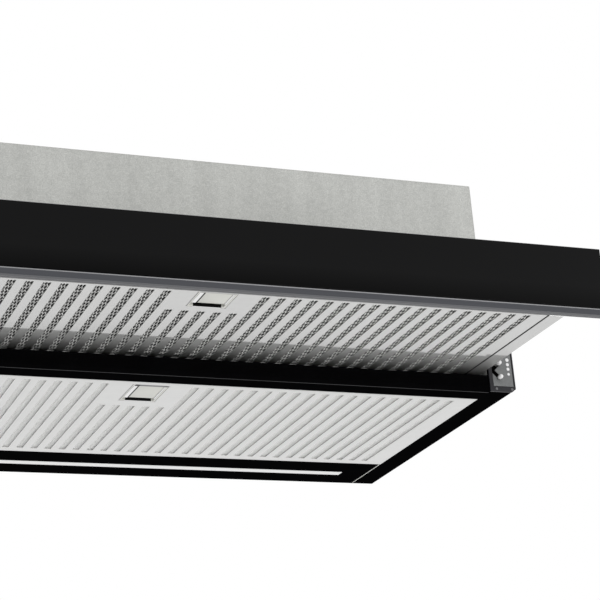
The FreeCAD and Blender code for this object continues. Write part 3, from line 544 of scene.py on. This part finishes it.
def screw_head(name, place):
    """Small domed head with a recess, facing the front."""
    outline = [(1.1 * MM, -0.2 * MM), (1.1 * MM, 0.1 * MM), (0.8 * MM, 0.35 * MM),
               (0.4 * MM, 0.42 * MM), (0.36 * MM, 0.1 * MM), (0.05 * MM, 0.06 * MM)]
    lathe(name, outline, place, TO_FRONT, "hood_body", "bezel_plastic", 20, GREY_LINE)


# ---------------------------------------------------------------- glass front


def make_front():
    """Glass pane with rounded edges and a painted highlight along its top edge, the trim under it,
    end caps and buffers.
    """
    softened("glass_panel", 0.5 * MM, 3, 20)
    make_trim()
    low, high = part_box("glass_panel")
    # painted highlight: a grey strip along the glass's top front edge
    bar("glass_top_painted_highlight", (low.x, high.x), (low.y + 0.15 * MM, low.y + 0.7 * MM),
        (high.z - 0.75 * MM, high.z - 0.25 * MM), "drawer", "black_glass", GREY_LINE)
    tray_low, tray_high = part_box("front_filter_tray")
    for name, side in SIDES.items():
        edges = mirrored(side, tray_high.x + 0.08 * MM, tray_high.x + 1.5 * MM)
        bar(f"drawer_seal_{name}", edges, (tray_low.y, tray_high.y),
            (tray_low.z - 0.15 * MM, tray_low.z + 0.2 * MM), "drawer", "rubber")
    softened("trim_end_caps", 0.25 * MM)
    softened("drawer_buffers", 0.8 * MM, 3)


def make_trim():
    """Extrusion under the glass: its grooved underside and the lip, with a painted highlight line
    on top and two painted highlight lines underneath.
    """
    low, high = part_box("front_trim")
    groove = low.z + 0.4 * MM
    lip = low.y + 5 * MM
    web = low.z + 1.2 * MM
    step = low.y + 0.8 * MM
    notch = high.z - 0.95 * MM
    underside = ((0.0, 0.5), (0.6, 0.0), (4.6, 0.0), (4.7, 0.4), (5.9, 0.4), (6.0, 0.0),
                 (6.6, 0.0), (6.7, 0.4))
    outline = [(low.y + y * MM, low.z + z * MM) for y, z in underside]
    outline += [(high.y, groove), (high.y, web), (lip, web), (lip, high.z), (step, high.z),
                (step, notch), (low.y, notch)]
    trim = extruded_x("front_trim_finished", outline, low.x, high.x, "drawer", "trim_aluminium",
                      0.1 * MM)
    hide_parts("front_trim")
    # painted highlight: a bright strip along the trim's top front edge
    bar("trim_top_painted_highlight", (low.x, high.x), (low.y, low.y + 0.75 * MM), (notch, high.z - 0.1 * MM),
        "drawer", "trim_aluminium", TRIM_HIGHLIGHT_PAINT)
    # painted highlight: grey strips along the trim's underside
    for name, start, end in (("trim_groove_painted_highlight", 4.75, 5.85), ("trim_rear_painted_highlight", 6.75, 8.0)):
        bar(name, (low.x, high.x), (low.y + start * MM, low.y + end * MM),
            (low.z + 0.1 * MM, low.z + 0.38 * MM), "drawer", "trim_aluminium", GREY_LINE)


# ---------------------------------------------------------------- grease filters


SLOT_PITCH = 12 * MM
SLOT_WIDE = 5.5 * MM
SHORT_SLOTS = 2  # on each side of the middle one, behind the latch
# slots on each side of the middle one, then their margins in mm: front, rear and behind the latch
SLOTS = {"front": (20, 2.6, 3.0, 37.2), "rear": (21, 7.0, 11.0, 58.0)}
# front margin and depth of the opening before a latch in mm, and the material of its painted shade
LATCH_WINDOWS = {"front": (0.3, 0.7, LATCH_OPENING_SHADE), "rear": (0.1, 3.2, GREY_LINE)}
# shares of a latch slider's width that are taken off at its left and right
SLIDER_LEFT = 0.15
SLIDER_RIGHT = 0.05


def slot_places(name):
    """Left edge, right edge, front end and rear end of each slot of a filter."""
    low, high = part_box(f"{name}_filter_tray")
    count, front, rear, short = SLOTS[name]
    places = []
    for number in range(-count, count + 1):
        middle = number * SLOT_PITCH
        start = short if abs(number) <= SHORT_SLOTS else front
        places.append((middle - SLOT_WIDE / 2, middle + SLOT_WIDE / 2,
                       low.y + start * MM, high.y - rear * MM))
    return places


def expanded_mesh(name, material, cell_x, cell_y, wide, lift):
    """Zigzag strands of expanded metal behind each slot of a filter."""
    low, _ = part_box(f"{name}_filter_tray")
    vertices = []
    faces = []
    thick = 0.22 * MM
    margin = 1.4 * MM
    section = ((-wide, -thick), (wide, -0.2 * thick), (wide, thick), (-wide, 0.2 * thick))
    for left, right, front, rear in slot_places(name):
        columns = int((right - left + 2 * margin) / (cell_x / 2)) + 1
        rows = int((rear - front + 2 * margin) / cell_y)
        for row in range(rows):
            y = front - margin + (row + 0.5) * cell_y
            first = len(vertices)
            for column in range(columns + 1):
                x = left - margin + column * cell_x / 2
                way = 1 if (row + column) % 2 else -1
                ripple = 0.10 * MM * math.sin(x * 2100 + y * 900)
                ripple += 0.06 * MM * random.uniform(-1, 1)
                centre_y = y + way * (cell_y / 2 - wide * 0.6)
                centre_z = low.z + lift + thick + way * 0.16 * MM + ripple
                for dy, dz in section:
                    vertices.append((x, centre_y + dy, centre_z + dz))
            for column in range(columns):
                a = first + 4 * column
                for side in range(4):
                    b = (side + 1) % 4
                    faces.append((a + side, a + b, a + 4 + b, a + 4 + side))
    mesh = bpy.data.meshes.new(f"{name}_expanded_mesh")
    mesh.from_pydata(vertices, [], faces)
    mesh.update()
    add_piece(f"{name}_expanded_mesh", mesh, f"{name}_filter", "filter_mesh", material)


def mesh_backing(name, material, lift, depth):
    """Deeper layers of the mesh pack: a finely rippled sheet above the strands."""
    low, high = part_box(f"{name}_filter_mesh")
    tray_low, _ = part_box(f"{name}_filter_tray")
    _, cup_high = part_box(f"{name}_latch_cup")
    step_x = 2.1 * MM
    step_y = 2.4 * MM
    columns = int((high.x - low.x) / step_x)
    rows = int((high.y - low.y) / step_y)
    vertices = []
    for row in range(rows + 1):
        for column in range(columns + 1):
            x = low.x + (high.x - low.x) * column / columns
            y = low.y + (high.y - low.y) * row / rows
            z = tray_low.z + lift + (depth if (row + column) % 2 else 0.0)
            vertices.append((x, y, z + 0.3 * depth * random.uniform(-1, 1)))
    faces = []
    for row in range(rows):
        for column in range(columns):
            a = row * (columns + 1) + column
            x, y, _ = vertices[a]
            in_bay = abs(x) < cup_high.x + 3 * MM and y < cup_high.y + 2 * MM
            if not in_bay:
                faces.append((a, a + 1, a + columns + 2, a + columns + 1))
    mesh = bpy.data.meshes.new(f"{name}_mesh_layers")
    mesh.from_pydata(vertices, [], faces)
    mesh.update()
    piece = add_piece(f"{name}_mesh_layers", mesh, f"{name}_filter", "filter_mesh", material)
    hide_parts(f"{name}_filter_mesh")


def make_filters():
    """Slotted trays, mesh packs, retaining frames and latches."""
    for name in ("front", "rear"):
        softened(f"{name}_filter_tray", 0.16 * MM, flat=True)
        softened(f"{name}_filter_retainer", 0.2 * MM)
        softened(f"{name}_latch_cup", 0.2 * MM, recess=0.15 * MM)
        slim_slider(softened(f"{name}_latch_slider", 0.2 * MM))
        make_latch_recess(name)
    expanded_mesh("front", FRONT_STRANDS, 2.2 * MM, 6.4 * MM, 0.95 * MM, 0.85 * MM)
    # the deeper front layers carry painted shade
    mesh_backing("front", SHADED_LAYERS, 3.0 * MM, 0.9 * MM)
    # the rear strands and layers carry painted light
    expanded_mesh("rear", LIT_MESH, 2.6 * MM, 1.5 * MM, 0.4 * MM, 0.85 * MM)
    mesh_backing("rear", LIT_MESH, 1.5 * MM, 0.3 * MM)


def slim_slider(slider):
    """Slim the finger bar of a latch so that the recess round it reads clearly."""
    vertices = slider.data.vertices
    rear = max(vertex.co.y for vertex in vertices)
    left = min(vertex.co.x for vertex in vertices)
    wide = max(vertex.co.x for vertex in vertices) - left
    top = max(vertex.co.z for vertex in vertices)
    for vertex in vertices:
        share = (vertex.co.x - left) / wide
        vertex.co.x += (SLIDER_LEFT - (SLIDER_LEFT + SLIDER_RIGHT) * share) * wide
        if vertex.co.y > rear - 2.2 * MM:
            vertex.co.y -= 1.7 * MM
        if vertex.co.z > top - 0.5 * MM:
            vertex.co.z -= 1.0 * MM


def make_latch_recess(name):
    """Painted shade in the finger recess of a latch, in the gap beside its slider and in the
    opening before it, painted highlights on the borders beside the slider and along its rear edge,
    and the dark joint at the cup's side.
    """
    cup_low, cup_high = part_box(f"{name}_latch_cup")
    slider_low, slider_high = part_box(f"{name}_latch_slider")
    body = f"{name}_filter"
    black = MATERIALS["switch_plastic"]
    wide = slider_high.x - slider_low.x
    gap = slider_low.x + SLIDER_LEFT * wide
    left = gap - 0.04 * wide
    right = slider_high.x - SLIDER_RIGHT * wide
    ahead = max(slider_low.y, cup_low.y) + 0.4 * MM
    front = slider_high.y - 1.5 * MM
    rear = cup_high.y - 1.0 * MM
    roof = cup_low.z + 5.4 * MM
    ceiling = roof - 0.5 * MM
    skin = (cup_low.z, cup_low.z + 0.3 * MM)
    outline = [(front, roof), (front, ceiling), (rear - 0.6 * MM, ceiling),
               (rear - 1.0 * MM, cup_low.z), (rear, cup_low.z), (rear, roof)]
    # painted shade: a black insert stands in for the shade inside the finger recess
    extruded_x(f"{name}_finger_recess_shade", outline, left, right, body, "rubber", 0.1 * MM, black)
    # painted shade: a black bar in the gap beside the slider
    bar(f"{name}_slider_gap_shade", (left, gap), (ahead, front), skin, body, "rubber", black)
    # painted highlight: light bars on the borders beside the slider
    borders = {"left": (slider_low.x - 0.2 * MM, left), "right": (right + 0.3 * MM, slider_high.x)}
    for side, edges in borders.items():
        bar(f"{name}_slider_border_{side}", edges, (ahead, front),
            (cup_low.z, cup_low.z + 0.6 * MM), body, "knob")
    # painted highlight: a light bar along the recess's rear edge
    bar(f"{name}_recess_lip_highlight", (left, right), (cup_high.y - 0.95 * MM, cup_high.y - 0.05 * MM),
        skin, body, "knob")
    # painted shade: a grey bar stands in for the opening before the latch
    margin, deep, shade = LATCH_WINDOWS[name]
    start = cup_low.y + margin * MM
    bar(f"{name}_latch_window_shade", (cup_low.x + 2 * MM, cup_high.x - 0.5 * MM),
        (start, start + deep * MM), skin, body, "rubber", shade)
    bar(f"{name}_cup_joint", (cup_low.x - 0.1 * MM, cup_low.x + 0.6 * MM),
        (cup_low.y + 0.5 * MM, cup_high.y - 0.5 * MM), skin, body, "rubber", GREY_LINE)


# ---------------------------------------------------------------- top and inside


def make_top():
    """Spigot with its hose beads, flaps, gland, and the seams and rivets of the top sheet."""
    low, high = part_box("duct_spigot")
    radius = high.x
    half = 0.9 * MM
    inner = radius - 1.5 * MM
    edge = radius - 0.35 * MM
    crest = radius - 0.02 * MM
    for number, height in enumerate((10.0, 26.0)):
        z = low.z + height * MM
        outline = [(inner, z - half), (edge, z - half), (crest, z), (edge, z + half),
                   (inner, z + half)]
        hose_ring(f"hose_bead_{number}", outline)
    make_top_seams()
    softened("duct_spigot", 0.3 * MM)
    for name in ("front", "rear"):
        softened(f"damper_flap_{name}", 0.25 * MM)
    softened("cable_gland", 0.6 * MM, 3)


def make_top_seams():
    """Seam and rivets along both side flanges of the housing's top sheet."""
    low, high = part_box("housing_box")
    for name, side in SIDES.items():
        bar(f"top_seam_{name}", mirrored(side, high.x - 13 * MM, high.x - 12 * MM),
            (low.y + 6 * MM, high.y - 6 * MM), (high.z, high.z + 0.4 * MM),
            "hood_body", "galvanised", MATERIALS["slide_steel"])
        for number in range(4):
            y = low.y + (30 + 69 * number) * MM
            rivet(f"top_rivet_{name}_{number}", (side * (high.x - 6.5 * MM), y, high.z))


def hose_ring(name, outline):
    """Closed ring on the duct's axis."""
    work = bmesh.new()
    sides = 96
    rings = []
    for i in range(sides):
        angle = math.tau * i / sides
        rings.append([work.verts.new((r * math.cos(angle), r * math.sin(angle), z))
                      for r, z in outline])
    for i in range(sides):
        here, there = rings[i], rings[(i + 1) % sides]
        for k in range(len(outline)):
            m = (k + 1) % len(outline)
            work.faces.new((here[k], there[k], there[m], here[m]))
    add_piece(name, finished_mesh(name, work), "hood_body", "duct_plastic")


def rivet(name, place):
    """Domed blind rivet on the housing's top."""
    outline = [(2.4 * MM, 0.0), (2.3 * MM, 0.4 * MM), (1.7 * MM, 0.85 * MM), (0.8 * MM, 1.05 * MM),
               (0.7 * MM, 0.7 * MM), (0.05 * MM, 0.65 * MM)]
    lathe(name, outline, place, (0, 0, 1), "hood_body", "slide_steel", 24)


def paint_remaining():
    """Procedural finish on every CAD node that is shown as it is."""
    for node, piece in frame["nodes"].items():
        if not piece.hide_render:
            paint(piece, MATERIALS[SLOT_OF[node]])


# ---------------------------------------------------------------- studio


def make_studio():
    """Pale floor far below, even white surroundings and one soft key light."""
    bpy.ops.mesh.primitive_plane_add(size=12, location=(0, 0, -2.3))
    floor = bpy.context.object
    floor.name = "floor"
    floor_material = Material("floor", (0.86, 0.86, 0.86), 0.9, 0.0, 0.1)
    floor_material.shade(floor_material.noise(3.0), 0.98, 1.02)
    paint(floor, floor_material)

    world = bpy.data.worlds.new("studio")
    world.use_nodes = True
    background = world.node_tree.nodes["Background"]
    background.inputs["Color"].default_value = (1, 1, 1, 1)
    background.inputs["Strength"].default_value = 1.0
    bpy.context.scene.world = world

    key = bpy.data.lights.new("key", "AREA")
    key.shape = "DISK"
    key.size = 1.2
    key.energy = 12
    light = bpy.data.objects.new("key", key)
    light.location = (1.2, -2.2, -0.9)
    aim = Vector((0, 0, -0.1)) - light.location
    light.rotation_euler = aim.to_track_quat("-Z", "Y").to_euler()
    bpy.context.scene.collection.objects.link(light)

    bpy.context.scene.view_settings.view_transform = "Standard"


def make_camera():
    """Long lens from below, in front and to the left of the hood."""
    camera = bpy.data.cameras.new("camera")
    camera.sensor_width = 36
    camera.lens = 110.0
    camera.shift_x = 0.1338
    camera.shift_y = 0.0247
    camera.clip_start = 0.05
    camera.clip_end = 50
    holder = bpy.data.objects.new("camera", camera)
    place = Vector((-0.4159, -1.3660, -0.6142))
    forward = Vector((0.33266, 0.87746, 0.34554)).normalized()
    level = Vector((0.94107, -0.33260, -0.06136))
    right = (level - level.dot(forward) * forward).normalized()
    up = right.cross(forward)
    turn = Matrix((right, up, -forward)).transposed()
    holder.matrix_world = Matrix.Translation(place) @ turn.to_4x4()
    bpy.context.scene.collection.objects.link(holder)
    bpy.context.scene.camera = holder


make_camera()
make_sheet_metal()
make_seam_highlights()
make_bend_painted_highlight()
make_light()
make_controls()
make_front()
make_filters()
make_top()
paint_remaining()
make_studio()
